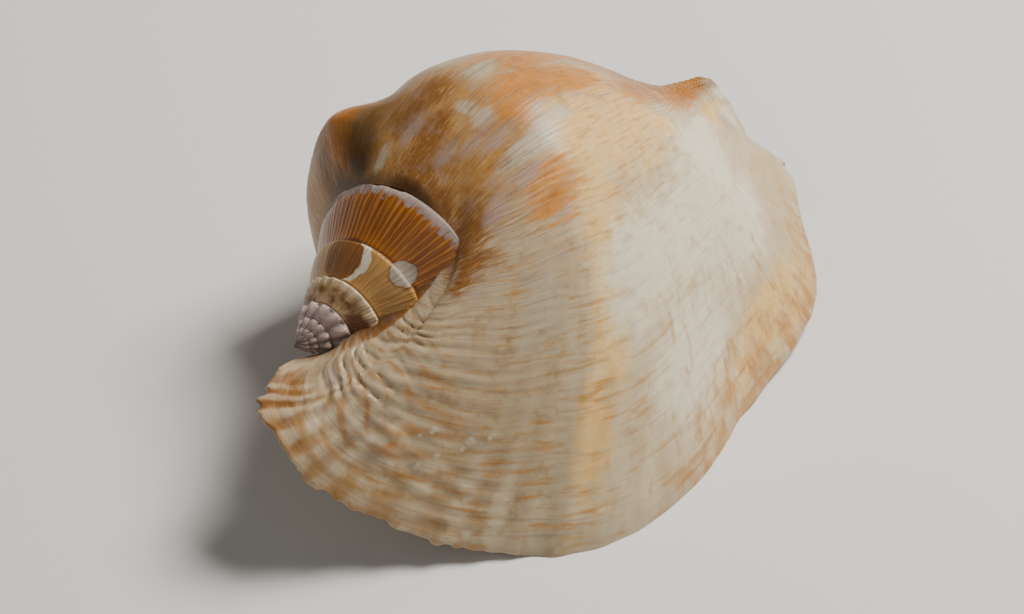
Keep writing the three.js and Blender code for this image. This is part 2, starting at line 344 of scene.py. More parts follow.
def growth_rings(s, u):
    """Wrinkles beside the spire and finer ridges over the lobe, both along the growth lines."""
    slow, quick = WRINKLE_BENDS
    bend = slow * wander(s, u, steps=(9, 6), seed=1) + quick * wander(u, s, steps=(13, 5), seed=7)
    wrinkle = np.sqrt(np.abs(np.sin(np.pi * (u * WRINKLE_COUNT + bend)))) - WRINKLE_LEVEL
    by_spire = inside(s, *WRINKLE_LINES) * inside(u, *WRINKLE_GROWTH)
    bend = RIDGE_BEND * wander(s, u, steps=(7, 9), seed=2)
    strength = RIDGE_EVENNESS + (1 - RIDGE_EVENNESS) * wander(s, u, steps=(23, 12), seed=9)
    ridge = np.sin(2 * np.pi * (u * RIDGE_COUNT + bend)) * strength
    on_lobe = inside(s, *RIDGE_LINES) * rise(u, RIDGE_GROWTH)
    return WRINKLE_RISE * wrinkle * by_spire + RIDGE_RISE * ridge * on_lobe


def specks(s, u, where):
    """How far each point is up small round marks, from 0 beside them to 1 on top."""
    cover = np.zeros_like(s)
    for line, grown, size in where:
        cover = np.maximum(cover, fall(np.hypot(s - line, (u - grown) / SPECK_LENGTH) / size, SPECK_SLOPE))
    return cover


def relief(s, u):
    """Height over the smooth form."""
    folds = FOLD_RISE * fold_wave(s, u) * inside(s, *FOLD_LINES) * rise(u, FOLD_GROWTH)
    swell = SWELL_RISE * wander(s, u, steps=(16, 3), seed=4) * rise(u, SWELL_GROWTH) * rise(s, SWELL_LINES)
    beside_keel = s - KEEL_LINE + KEEL_LEAN * (u - KEEL_LEANS_FROM)
    keel = KEEL_RISE * np.exp(-(beside_keel / KEEL_WIDTH) ** 2) * rise(u, KEEL_GROWTH)
    bend = GROWTH_LINE_BEND * wander(s, u, steps=(10, 20), seed=6)
    wave = np.sin(2 * np.pi * (u * GROWTH_LINE_COUNT + bend))
    lines = GROWTH_LINE_RISE * wave * rise(s, GROWTH_LINE_LINES)
    at_canal = rise(s, CANAL_CORD_LINES) * fall(u, CANAL_CORD_GROWTH)
    cords = CANAL_CORD_RISE * np.cos(2 * np.pi * s * CANAL_CORD_COUNT) * at_canal
    uneven = UNEVEN_RISE * wander(s, u, steps=(11, 7), seed=8) * rise(s, UNEVEN_LINES)
    marks = NUB_RISE * specks(s, u, [NUB]) + SPECK_RISE * specks(s, u, CRUST_SPECKS)
    return growth_rings(s, u) + folds + swell + keel + lines + cords + uneven + marks


# Lip: thin and ragged along the lobe, thick and rounded on the far side, with a few chips broken out.
# A chip has its spiral line, half its width and its depth as a share of the wing.
BODY_WALL = 5
LOBE_LIP = 1.7
LIP_GAIN = 1.5
LIP_GAIN_LINES = (0.3, 0.48)
FAR_LIP_LOSS = 0.7
FAR_LIP_LINES = (0.6, 0.75)
WALL_THINS = (0, 0.8)
CANAL_WALL = 2.6
CANAL_WALL_LINES = (0.85, 1)
LIP_CHIPS = [
    (0.112, 0.02, 0.016), (0.15, 0.016, 0.02), (0.178, 0.01, 0.012), (0.215, 0.008, 0.016),
    (0.262, 0.006, 0.014), (0.305, 0.008, 0.016), (0.352, 0.006, 0.012), (0.87, 0.012, 0.05),
]
CHIP_SLOPE = (0.4, 1)
RAGGED_DEPTH = 0.004
RAGGED_LINES = (0.35, 0.55)
FINE_TEETH = 0.5
WAVY_DEPTH = 0.004
TRIM_LINES = (0.04, 0.1)
TRIM_GROWTH = (0.8, 1)


def wall_at(s, u):
    """Thickness of the wall."""
    lip = LOBE_LIP + LIP_GAIN * rise(s, LIP_GAIN_LINES) - FAR_LIP_LOSS * rise(s, FAR_LIP_LINES)
    wall = BODY_WALL + (lip - BODY_WALL) * rise(u, WALL_THINS)
    return wall + (CANAL_WALL - wall) * rise(s, CANAL_WALL_LINES)


def lip_trim(s):
    """How much of the wing is worn off its edge, as a share of it."""
    coarse = 1 + wander(s, s, steps=(150, 0), seed=11)
    fine = 1 + wander(s, s, steps=(380, 0), seed=12)
    ragged = fall(s, RAGGED_LINES) * (coarse + FINE_TEETH * fine)
    trim = RAGGED_DEPTH * ragged + WAVY_DEPTH * (1 + wander(s, s, steps=(60, 0), seed=13))
    for line, width, depth in LIP_CHIPS:
        trim = np.maximum(trim, depth * fall(np.abs(s - line) / width, CHIP_SLOPE))
    return trim * rise(s, TRIM_LINES)


# Mesh: one grid of points for the wall, over the outer face, round the lip and back along the inner face,
# and one for the solid coil that it grows from. The inner face has one row for each group of outer rows.
ROWS_BODY = 92
ROWS_WING = 189
ROWS_RIM = 8
ROW_GROUP = 4
COLUMNS = 216
# Shares of the columns, and the spiral lines that they stand on: they crowd together over the lobe
LINE_SHARES = ((0, 0.12, 0.58, 1), (0, 0.12, 0.5, 1))
SINK_AT_ROOT = 0.5
STEP_AT_ROOT = 0.05
ROOT_EMERGES = (WALL_START, HOLLOW_START - 1)
ROOT_FADES = (HOLLOW_START, -60)
RELIEF_STARTS = (-1, -0.8)
# Rows of the coil: shares of each whorl of the spire, then spiral lines of the body
SPIRE_SHARES = np.concatenate([np.linspace(0, 0.7, 6), np.linspace(0.78, 0.98, 6)])
BODY_SHARES = np.concatenate([np.linspace(0, 0.3, 25), np.linspace(0.33, 1, 24)])
CORE_TURNS = 170
PILLAR_RADIUS = 4
PILLAR_OFFSET = 0.6
PILLAR_END = 144
PILLAR_TAPER = 0.25
PILLAR_TIP = 1.3
MOUTH_STARTS = -235
SPIRE_ENDS = -250
TABLE_SIZE = 0.5
MERGE_REACH = 1e-7
OUTSIDE, SPIRE, LINING = range(3)
SHARP_FROM = math.radians(50)


def sink(points, depth):
    """Points drawn in towards the axis."""
    radius = np.linalg.norm(points[..., 1:], axis=-1)
    kept = np.maximum(radius - depth, radius * EDGE_KEPT) / np.maximum(radius, TINY)
    return points * np.stack([np.ones_like(kept), kept, kept], -1)


def wall_grid(rows):
    """Spiral lines, growth and points of the smooth outer face at rows of growth, with the lip worn back."""
    s, u = np.meshgrid(np.interp(np.linspace(0, 1, COLUMNS), *LINE_SHARES), rows)
    u = u - lip_trim(s) * rise(u, TRIM_GROWTH)
    return s, u, eased_point(s, u)


def hollow_wall():
    """Points of the wall with their spiral lines and growth, and the row at which its lining starts."""
    rows = np.concatenate([np.linspace(-1, 0, ROWS_BODY, False), np.linspace(0, 1, ROWS_WING)])
    s, u, smooth = wall_grid(rows)
    normal = normals_of(smooth)
    angle = -WALL_START * np.minimum(u, 0)
    emerge = (SINK_AT_ROOT + STEP_AT_ROOT) * rise(angle, ROOT_EMERGES) - SINK_AT_ROOT
    level = emerge - STEP_AT_ROOT * rise(angle, ROOT_FADES)
    height = relief(s, u) * rise(u, RELIEF_STARTS) + level
    outer = smooth + normal * height[..., None]
    inner = (smooth - normal * wall_at(s, u)[..., None])[::-ROW_GROUP]
    groups = np.round(np.arange(len(rows)) / ROW_GROUP).astype(int)
    for side in (0, -1):
        edge = (outer[::ROW_GROUP, side] + inner[::-1, side]) / 2
        edge = sink(edge, EDGE_DEPTH) if side == 0 else edge
        outer[:, side] = edge[groups]
        inner[:, side] = edge[::-1]
    inner[-1] = outer[0]
    middle = (outer[-1] + inner[0]) / 2
    half = (outer[-1] - inner[0]) / 2
    outward = smooth[-1] - smooth[-2]
    outward *= np.linalg.norm(half, axis=-1, keepdims=True) / np.linalg.norm(outward, axis=-1, keepdims=True)
    turns = np.linspace(0, np.pi, ROWS_RIM + 1)[1:-1, None, None]
    rim = middle + half * np.cos(turns) + outward * np.sin(turns)
    outward_rows = np.arange(len(rows))
    order = np.concatenate([outward_rows, np.full(len(rim), len(rows) - 1), outward_rows[::-ROW_GROUP]])
    return np.concatenate([outer, rim, inner]), s[order], u[order], len(rows) + ROWS_RIM // 2


def core_outline(angle):
    """The solid coil at growth angles, from the tip to the foot of its pillar: axis position, radius, and
    for each row its share of the whorl, its place along the coil, its spiral line and its growth."""
    nothing = np.zeros_like(angle)
    tip = suture_at(HOLLOW_START - 360 * SPIRE_WHORLS)
    rows = [(nothing + SPIRE_TIP, nothing, nothing, angle - 360 * SPIRE_WHORLS, nothing, nothing)]
    for whorl in range(SPIRE_WHORLS, 0, -1):
        for share in SPIRE_SHARES:
            a = np.maximum(suture_at(angle - 360 * (whorl - share)), tip)
            rows.append((a, spire_radius(a, angle), nothing + share, angle - 360 * whorl, nothing, nothing))
    pillar = PILLAR_RADIUS * (1 - PILLAR_OFFSET * np.sin(np.radians(angle)))
    for s in BODY_SHARES:
        a, radius = body_row(nothing + s, angle)
        past = np.clip(whorls_past(angle, a), 0, 1)
        rows.append((a, np.maximum(radius, pillar), past, angle, nothing + s, -angle / WALL_START))
    end = (nothing + 1, angle, nothing + 1, -angle / WALL_START)
    rows.append((nothing + PILLAR_END, pillar * (1 - PILLAR_TAPER), *end))
    rows.append((nothing + PILLAR_END + PILLAR_TIP, nothing, *end))
    return np.array(rows)


def grid_mesh(points, values):
    """A mesh from a grid of points, with named values kept on its vertices."""
    rows, columns = points.shape[:2]
    bm = bmesh.new()
    layers = [bm.verts.layers.float.new(name) for name in values]
    bmesh.ops.create_grid(bm, x_segments=columns - 1, y_segments=rows - 1, size=0.5)
    numbers = np.stack([value.ravel() for value in values.values()], -1)
    for vert, place, row in zip(bm.verts, lay_down(points).reshape(-1, 3), numbers):
        vert.co = place
        for layer, number in zip(layers, row):
            vert[layer] = number
    return bm


def add_object(name, bm, finishes):
    mesh = bpy.data.meshes.new(name)
    bm.to_mesh(mesh)
    bm.free()
    for finish in finishes:
        mesh.materials.append(finish)
    piece = bpy.data.objects.new(name, mesh)
    bpy.context.collection.objects.link(piece)
    return piece


def named_values(share, coil, spiral, growth, coiled):
    """The values kept on the vertices, with marks for known values and for the coil's own points."""
    known = np.ones_like(spiral)
    return {
        "share": share, "coil": coil, "spiral": spiral, "growth": growth,
        "known": known, "coiled": known * coiled,
    }


points, s, u, lining_row = hollow_wall()
wall = grid_mesh(points, named_values(0 * s, 0 * s, s, u, coiled=0))
for face in wall.faces:
    face.material_index = OUTSIDE if face.index // (COLUMNS - 1) < lining_row else LINING
bmesh.ops.remove_doubles(wall, verts=wall.verts, dist=MERGE_REACH)
bmesh.ops.reverse_faces(wall, faces=wall.faces)

angle = np.linspace(HOLLOW_START - 360, HOLLOW_START, CORE_TURNS + 1)
a, radius, share, coil, s, u = np.moveaxis(core_outline(angle), 1, 0)
around = np.broadcast_to(angle, a.shape)
core = grid_mesh(polar(a, radius, around), named_values(share, coil, s, u, coiled=1))
for face in core.faces:
    row, column = divmod(face.index, CORE_TURNS)
    on_spire = share[row, column] < 1 and coil[row, column] < SPIRE_ENDS
    face.material_index = SPIRE if on_spire else OUTSIDE if angle[column] > MOUTH_STARTS else LINING
bmesh.ops.remove_doubles(core, verts=core.verts, dist=MERGE_REACH)
last_section = bmesh.ops.holes_fill(core, edges=[edge for edge in core.edges if edge.is_boundary])
for face in last_section["faces"]:
    face.material_index = LINING
bmesh.ops.triangulate(core, faces=last_section["faces"])

table = bmesh.new()
bmesh.ops.create_cube(table, size=TABLE_SIZE)
bmesh.ops.translate(table, verts=table.verts, vec=(0, 0, -TABLE_SIZE / 2))
finishes = [bpy.data.materials.new(name) for name in ("Worn outside", "Glossy spire", "Glazed lining")]
for finish in finishes:
    finish.use_nodes = True
wall_object = add_object("wall", wall, finishes)
helpers = [wall_object, add_object("core", core, finishes), add_object("table", table, finishes)]
for helper, operation in zip(helpers[1:], ("UNION", "DIFFERENCE")):
    cut = wall_object.modifiers.new(helper.name, "BOOLEAN")
    cut.operation = operation
    cut.solver = "MANIFOLD"
    cut.object = helper
joined = wall_object.evaluated_get(bpy.context.evaluated_depsgraph_get())
shell_mesh = bpy.data.meshes.new_from_object(joined)
for helper in helpers:
    bpy.data.objects.remove(helper)
shell_mesh.shade_smooth()
shell_mesh.set_sharp_from_angle(angle=SHARP_FROM)
shell = bpy.data.objects.new("conch_shell", shell_mesh)
bpy.context.collection.objects.link(shell)

# Colours laid down by the animal and what wear has left of them, with painted shade and a painted highlight,
# as soft patches. A patch has its spiral line, its growth, and half its width and half its length in those.
PATCHES = {
    # The shell's worn white, and a painted highlight: the small patch on the crest at spiral line 0.5 and
    # growth 0.19
    "white": [
        (0.74, 0.53, 0.1, 0.14), (0.65, 0.63, 0.09, 0.14), (0.55, 0.62, 0.07, 0.13), (0.7, 0.73, 0.1, 0.1),
        (0.59, 0.82, 0.06, 0.12), (0.46, -0.13, 0.05, 0.05), (0.5, 0.19, 0.022, 0.03),
        (0.4, 0.235, 0.08, 0.045), (0.355, -0.04, 0.02, 0.05), (0.355, 0.03, 0.03, 0.045),
        (0.14, -0.26, 0.08, 0.035), (0.66, -0.2, 0.02, 0.05), (0.82, 0.46, 0.04, 0.06),
        (0.985, 0.2, 0.03, 0.3), (0.95, 0.62, 0.05, 0.12), (0.41, 0.62, 0.035, 0.08),
    ],
    "peach": [
        (0.53, 0.28, 0.08, 0.17), (0.62, 0.3, 0.07, 0.16), (0.6, 0.08, 0.07, 0.12), (0.5, 0.45, 0.04, 0.14),
        (0.495, 0.66, 0.025, 0.16), (0.7, 0.92, 0.12, 0.07), (0.9, 0.5, 0.06, 0.12),
        (0.68, 0.36, 0.05, 0.06), (0.82, 0.85, 0.06, 0.1), (0.48, 0.84, 0.02, 0.1),
    ],
    "orange": [
        (0.5, 0.03, 0.13, 0.11), (0.58, 0.06, 0.08, 0.1), (0.55, -0.14, 0.12, 0.12), (0.42, 0.1, 0.04, 0.07),
        (0.43, 0.37, 0.06, 0.09), (0.21, -0.47, 0.13, 0.07), (0.73, 0.18, 0.1, 0.1),
        (0.82, 0.24, 0.07, 0.12), (0.89, 0.08, 0.05, 0.25), (0.94, -0.2, 0.03, 0.3),
        (0.32, 0.88, 0.012, 0.014), (0.7, -0.2, 0.1, 0.2),
    ],
    # The shell's own brown blotches, and partly painted shade in the crevice beside and below the spire and
    # at the lobe's tip
    "brown": [
        (0.36, -0.21, 0.07, 0.08), (0.12, -0.05, 0.16, 0.14), (0.07, 0.14, 0.1, 0.18),
        (0.12, -0.56, 0.16, 0.12), (0.95, -0.2, 0.01, 0.3), (0.19, 0.36, 0.14, 0.14), (0.8, -0.5, 0.3, 0.15),
        (0.15, 0.97, 0.07, 0.05), (0.26, 0.49, 0.07, 0.07), (0.19, 0.975, 0.06, 0.03),
        (0.03, 0.68, 0.05, 0.25), (0.26, -0.1, 0.09, 0.08), (0.3, -0.24, 0.1, 0.08),
    ],
    "chalk": [
        (0.25, -0.18, 0.07, 0.04), (0.23, 0.02, 0.06, 0.06), (0.3, 0.08, 0.07, 0.045),
        (0.35, 0.14, 0.06, 0.04), (0.31, 0.35, 0.04, 0.05), (0.38, 0.3, 0.05, 0.03),
        (0.13, 0.87, 0.05, 0.03),
    ],
    # Painted shade: the far lip and the lip's lower edge made greyer and darker, where less light falls on
    # them
    "dull": [(0.81, 0.86, 0.09, 0.12), (0.47, 1.0, 0.14, 0.04), (0.9, 0.6, 0.04, 0.1)],
    # Painted shade: the dark valley band below the knob, and the crevice all along the spire
    "shade": [
        (0.17, -0.37, 0.24, 0.09), (0.0, 0.05, 0.08, 0.35), (0.02, 0.35, 0.07, 0.2),
        (0.0, -0.45, 0.1, 0.35), (0.0, 0.62, 0.045, 0.35),
    ],
}
PATCH_EDGE = (0.2, 1.5)
# Zones of the outside, with the spans of spiral lines and of growth over which they come and go
PALE_LINES = (0.44, 0.47)
PALE_SWING = 0.012
PALE_GROWTH = (0.1, 0.35)
CANAL_LINES = (0.64, 0.76)
CANAL_GROWTH = (0.2, 0.38)
CREST_SHARE = 0.6
CREST_LINES = ((0.36, 0.5), (0.64, 0.76))
CREST_GROWTH = (0.1, 0.3)
LOBE_EDGE_SHARE = 0.8
LOBE_EDGE_LINES = ((0.1, 0.16), (0.3, 0.42))
LOBE_EDGE_GROWTH = (0.9, 0.98)
RAMP_LINES = (0.38, 0.5)
RAMP_GROWTH = (0.2, 0.5)
STREAKY_LINES = (0.36, 0.5)
STREAKY_GROWTH = (0.4, 0.7)
STREAKY_LEAST = 0.4
WORN_LINES = (0.42, 0.48)
WORN_WING_SHARE = 0.6
WORN_WING_GROWTH = (0.4, 0.6)
RAYED_LINES = (0.5, 0.58)
RAYED_GROWTH = (0.5, 0.75)
DASH_LINES = ((0.26, 0.34), (0.62, 0.72))
DASHES_START = 0.42
DASHES_EARLIER = 0.3
DASHES_EARLIER_LINES = (0.44, 0.5)
DASHES_GROW = (0, 0.13)
SPOT_LINES = ((0.5, 0.6), (0.8, 0.86))
# Spots thicken towards the lip in steps, each with what it adds and the growth over which it does
SPOT_STEPS = [(0.35, (0.55, 0.75)), (0.6, (0.84, 0.96)), (0.25, (0.965, 0.985))]
BAND_LINES = ((0.11, 0.16), (0.42, 0.5))
BAND_GROWTH = (0.8, 0.95)
GROOVE_HEIGHTS = (-0.32, 0.06)
# Growth lines turn round the front canal: where the turn starts, its centre and how tight it is
TURN_FROM = 0.7
TURN_CENTRE = -0.15
TURN_TIGHTNESS = 1.9


def patches(s, u, where):
    """How far soft patches cover each point, from 0 to 1."""
    cover = np.zeros_like(s)
    for line, grown, width, length in where:
        gap = np.hypot((s - line) / width, (u - grown) / length)
        cover = np.maximum(cover, fall(gap, PATCH_EDGE))
    return cover


def values_of(name):
    values = np.empty(len(shell_mesh.vertices), np.float32)
    shell_mesh.attributes[name].data.foreach_get("value", values)
    return values


def keep_values(name, values):
    layer = shell_mesh.attributes.get(name) or shell_mesh.attributes.new(name, "FLOAT", "POINT")
    layer.data.foreach_set("value", values.astype(np.float32))


# Points made where the wall meets the coil or the table have no values yet. They take their place on the
# coil from the coil's points beside them, and their spiral line and growth from the wall's.
SURELY = 0.99
FILL_STEPS = 12
ends = np.empty(2 * len(shell_mesh.edges), np.int32)
shell_mesh.edges.foreach_get("vertices", ends)
here, there = np.vstack([ends.reshape(-1, 2), ends.reshape(-1, 2)[:, ::-1]]).T
at_joins = values_of("known") < SURELY
coiled = ~at_joins & (values_of("coiled") > SURELY)


def spread(names, sure):
    """Carries values on from sure points to the joins' points beside them, step by step."""
    for _ in range(FILL_STEPS):
        beside = np.bincount(here, sure[there])
        reached = at_joins & ~sure & (beside > 0)
        for name in names:
            values = values_of(name)
            mean = np.bincount(here, (sure * values)[there]) / np.maximum(beside, 1)
            keep_values(name, np.where(reached, mean, values))
        sure = sure | reached
    return sure


spread(("share", "coil"), coiled)
walled = spread(("spiral", "growth"), ~at_joins & ~coiled)
spread(("spiral", "growth"), walled | coiled)

s = values_of("spiral")
u = values_of("growth")
past_turn = TURN_TIGHTNESS * np.maximum(s - TURN_FROM, 0)
pale_line = s + PALE_SWING * wander(u, s, steps=(9, 0), seed=21)
on_canal = rise(s, CANAL_LINES) * fall(u, CANAL_GROWTH)
on_crest = CREST_SHARE * inside(s, *CREST_LINES) * fall(u, CREST_GROWTH)
on_ramp = fall(s, RAMP_LINES) * fall(u, RAMP_GROWTH)
on_lobe = inside(s, *BAND_LINES) * rise(u, BAND_GROWTH)
on_lobe_edge = LOBE_EDGE_SHARE * inside(s, *LOBE_EDGE_LINES) * rise(u, LOBE_EDGE_GROWTH)
by_spire = fall(s, STREAKY_LINES) * (STREAKY_LEAST + (1 - STREAKY_LEAST) * fall(u, STREAKY_GROWTH))
worn_wing = WORN_WING_SHARE * rise(u, WORN_WING_GROWTH)
dashes_start = DASHES_START - DASHES_EARLIER * rise(s, DASHES_EARLIER_LINES)
near_lip = sum(share * rise(u, span) for share, span in SPOT_STEPS)
zones = {name: patches(s, u, where) for name, where in PATCHES.items()}
zones["lined"] = np.hypot(past_turn, u - TURN_CENTRE) + TURN_CENTRE
zones["pale"] = rise(pale_line, PALE_LINES) * rise(u, PALE_GROWTH)
zones["ramp"] = on_ramp + on_canal + on_lobe_edge
zones["canal"] = on_canal
zones["crust"] = specks(s, u, CRUST_SPECKS)
zones["streaky"] = by_spire + on_canal + on_crest
zones["worn"] = np.maximum(rise(s, WORN_LINES) * rise(u, PALE_GROWTH), worn_wing)
zones["rayed"] = rise(s, RAYED_LINES) * rise(u, RAYED_GROWTH)
zones["dashes"] = inside(s, *DASH_LINES) * rise(u - dashes_start, DASHES_GROW)
zones["spots"] = inside(s, *SPOT_LINES) * near_lip
zones["bands"] = on_lobe * (1 + fold_wave(s, u)) / 2
zones["groove"] = fall(growth_rings(s, u), GROOVE_HEIGHTS)
for name, values in zones.items():
    keep_values(name, values)

# Materials: the worn outside, the glossy spire and the glazed lining share two effects. Streaks are fibres
# drawn out along the growth lines, and a ragged edge tears the rim of a soft zone.
WHITE = (0.84, 0.78, 0.6, 1)
BONE = (0.50, 0.43, 0.30, 1)
PALE = (0.68, 0.57, 0.37, 1)
CREAM = (0.56, 0.44, 0.27, 1)
GREY_CREAM = (0.44, 0.37, 0.25, 1)
PEACH = (0.9, 0.56, 0.18, 1)
TAN = (0.52, 0.29, 0.09, 1)
ORANGE = (0.66, 0.235, 0.025, 1)
AMBER = (0.48, 0.18, 0.025, 1)
DEEP_ORANGE = (0.17, 0.04, 0.005, 1)
OCHRE = (0.34, 0.155, 0.035, 1)
BROWN = (0.15, 0.05, 0.01, 1)
CHALK = (0.36, 0.27, 0.23, 1)
LAVENDER = (0.24, 0.18, 0.17, 1)
ROSE = (0.56, 0.40, 0.36, 1)
APRICOT = (0.74, 0.42, 0.2, 1)
# Near black, for painted shade in the crevices beside the spire and along its sutures
PAINTED_SHADE = (0.035, 0.018, 0.007, 1)


def place(tree, kind, inputs, **settings):
    """A node with its settings, and each input either set or linked from another node's output."""
    node = tree.nodes.new(kind)
    for name, value in settings.items():
        setattr(node, name, value)
    for name, value in inputs.items():
        if isinstance(value, bpy.types.NodeSocket):
            tree.links.new(value, node.inputs[name])
        else:
            node.inputs[name].default_value = value
    return node


def maths(tree, operation, *terms):
    return place(tree, "ShaderNodeMath", dict(enumerate(terms)), operation=operation).outputs[0]


def times(tree, value, factor):
    return maths(tree, "MULTIPLY", value, factor)


def spanned(tree, value, low, high, least=0, most=1):
    """How far a value is on the way from low to high, as a number between least and most."""
    inputs = {"Value": value, "From Min": low, "From Max": high, "To Min": least, "To Max": most}
    return place(tree, "ShaderNodeMapRange", inputs).outputs[0]


def noise(tree, where, scale, detail, roughness=0.5):
    inputs = {"Vector": where, "Scale": scale, "Detail": detail, "Roughness": roughness}
    return place(tree, "ShaderNodeTexNoise", inputs).outputs["Fac"]


def mixed(tree, amount, under, over):
    return place(tree, "ShaderNodeMix", {0: amount, 2: under, 3: over}).outputs[0]


def blend(tree, mask, under, over, share=None):
    """A colour laid over another where a mask lets it, at most to a share."""
    amount = times(tree, mask, share) if share else mask
    return place(tree, "ShaderNodeMix", {0: amount, 6: under, 7: over}, data_type="RGBA").outputs[2]


def from_mesh(tree, name):
    return place(tree, "ShaderNodeAttribute", {}, attribute_name=name).outputs["Fac"]


def in_object(tree):
    return place(tree, "ShaderNodeTexCoord", {}).outputs["Object"]


def effect(name, inputs, output):
    """An empty node group with number inputs and one number output, and its two end nodes."""
    tree = bpy.data.node_groups.new(name, "ShaderNodeTree")
    for socket in inputs:
        tree.interface.new_socket(socket, in_out="INPUT", socket_type="NodeSocketFloat")
    tree.interface.new_socket(output, in_out="OUTPUT", socket_type="NodeSocketFloat")
    return tree, tree.nodes.new("NodeGroupInput").outputs, tree.nodes.new("NodeGroupOutput").inputs


streaks, given, result = effect("Streaks", ["Spiral", "Growth", "Across", "Along", "Seed"], "Streak")
across = times(streaks, given["Spiral"], given["Across"])
along = times(streaks, given["Growth"], given["Along"])
where = place(streaks, "ShaderNodeCombineXYZ", {0: across, 1: along, 2: given["Seed"]}).outputs[0]
fibres = noise(streaks, where, scale=1, detail=3, roughness=0.6)
streaks.links.new(spanned(streaks, fibres, low=0.28, high=0.72), result[0])

MIDDLE = 0.5
ragged_edge, given, result = effect("Ragged edge", ["Zone", "Grain", "Raggedness", "Softness"], "Mask")
swing = times(ragged_edge, maths(ragged_edge, "SUBTRACT", given["Grain"], MIDDLE), given["Raggedness"])
edge = {
    "Value": maths(ragged_edge, "ADD", given["Zone"], swing),
    "From Min": maths(ragged_edge, "SUBTRACT", MIDDLE, given["Softness"]),
    "From Max": maths(ragged_edge, "ADD", MIDDLE, given["Softness"]),
}
mask = place(ragged_edge, "ShaderNodeMapRange", edge, interpolation_type="SMOOTHSTEP")
ragged_edge.links.new(mask.outputs[0], result[0])


def streak(tree, spiral, growth, across, along, seed):
    inputs = {"Spiral": spiral, "Growth": growth, "Across": across, "Along": along, "Seed": seed}
    return place(tree, "ShaderNodeGroup", inputs, node_tree=streaks).outputs[0]


def ragged(tree, zone, grain, raggedness, softness):
    inputs = {"Zone": zone, "Grain": grain, "Raggedness": raggedness, "Softness": softness}
    return place(tree, "ShaderNodeGroup", inputs, node_tree=ragged_edge).outputs[0]


def finish_surface(tree, colour, roughness, height, depth):
    """Joins a colour, a roughness and a height to a finish's shader."""
    shader = tree.nodes["Principled BSDF"]
    bump = place(tree, "ShaderNodeBump", {"Height": height, "Distance": depth, "Strength": 1})
    tree.links.new(colour, shader.inputs["Base Color"])
    tree.links.new(roughness, shader.inputs["Roughness"])
    tree.links.new(bump.outputs[0], shader.inputs["Normal"])


# The worn outside: fibres and drips carry the colours of the patches, in layers from the ground colour up
OUTSIDE_SHINE = 0.3
DASH_COVER = 0.62
DASH_SHARE = 0.75
DASH_LOSS_ON_WHITE = 0.6
SPOT_COVER = 0.5
CHALK_COVER = 0.75
CHALK_SHARE = 0.8
CANAL_LINE_COUNT = 55
CANAL_LINE_SWING = 5
FADING_LOSS_ON_ORANGE = 0.75
GRAIN_HEIGHT = 0.5
tree = finishes[OUTSIDE].node_tree
spiral = from_mesh(tree, "spiral")
growth = from_mesh(tree, "growth")
lined = from_mesh(tree, "lined")
streaky = from_mesh(tree, "streaky")
pale = from_mesh(tree, "pale")
where = in_object(tree)
fibre = streak(tree, spiral, lined, across=12, along=170, seed=1)
strand = streak(tree, spiral, lined, across=17, along=60, seed=2)
blot = streak(tree, spiral, lined, across=45, along=26, seed=3)
drip = streak(tree, spiral, growth, across=80, along=9, seed=8)
dash = streak(tree, spiral, lined, across=24, along=90, seed=4)
spot = streak(tree, spiral, growth, across=95, along=14, seed=7)
cloud = noise(tree, where, scale=70, detail=4)
grain = noise(tree, where, scale=900, detail=3)
patchy = noise(tree, where, scale=190, detail=6, roughness=0.65)
torn = mixed(tree, from_mesh(tree, "worn"), strand, blot)
torn = mixed(tree, from_mesh(tree, "rayed"), torn, drip)
colour = blend(tree, torn, CREAM, TAN, share=0.55)
colour = blend(tree, cloud, colour, GREY_CREAM)
colour = blend(tree, from_mesh(tree, "ramp"), colour, blend(tree, strand, TAN, OCHRE))
colour = blend(tree, pale, colour, blend(tree, drip, PALE, CREAM))
# Brown blotches, which also paint shade beside and below the spire and at the lobe's tip
brown_and_shade_mask = ragged(tree, from_mesh(tree, "brown"), strand, raggedness=0.9, softness=0.4)
colour = blend(tree, brown_and_shade_mask, colour, blend(tree, fibre, OCHRE, BROWN))
peach_mask = ragged(tree, from_mesh(tree, "peach"), torn, raggedness=0.9, softness=0.4)
colour = blend(tree, peach_mask, colour, PEACH, share=0.85)
orange_mask = ragged(tree, from_mesh(tree, "orange"), strand, raggedness=0.8, softness=0.35)
orange = blend(tree, strand, AMBER, ORANGE)
orange = blend(tree, spanned(tree, cloud, low=0.6, high=0.85), orange, PEACH)
colour = blend(tree, orange_mask, colour, orange, share=0.9)
# Worn white patches, one of which is a painted highlight on the crest
white_mask = ragged(tree, from_mesh(tree, "white"), torn, raggedness=0.8, softness=0.42)
colour = blend(tree, white_mask, colour, blend(tree, pale, BONE, WHITE), share=0.92)
band_mask = ragged(tree, from_mesh(tree, "bands"), blot, raggedness=0.7, softness=0.35)
colour = blend(tree, band_mask, colour, PALE, share=0.6)
# Painted shade: grey-cream over the far lip and the lip's lower edge
dimming_shade_mask = ragged(tree, from_mesh(tree, "dull"), drip, raggedness=0.5, softness=0.5)
colour = blend(tree, dimming_shade_mask, colour, GREY_CREAM, share=0.65)
clusters = times(tree, from_mesh(tree, "dashes"), times(tree, cloud, DASH_COVER))
dash_share = maths(tree, "MULTIPLY_ADD", white_mask, -DASH_LOSS_ON_WHITE, DASH_SHARE)
dash_mask = times(tree, ragged(tree, clusters, dash, raggedness=1, softness=0.2), dash_share)
colour = blend(tree, dash_mask, colour, blend(tree, blot, TAN, AMBER))
spotted = times(tree, from_mesh(tree, "spots"), SPOT_COVER)
spot_mask = ragged(tree, spotted, spot, raggedness=1, softness=0.28)
colour = blend(tree, spot_mask, colour, blend(tree, blot, TAN, AMBER), share=0.85)
chalked = times(tree, from_mesh(tree, "chalk"), CHALK_COVER)
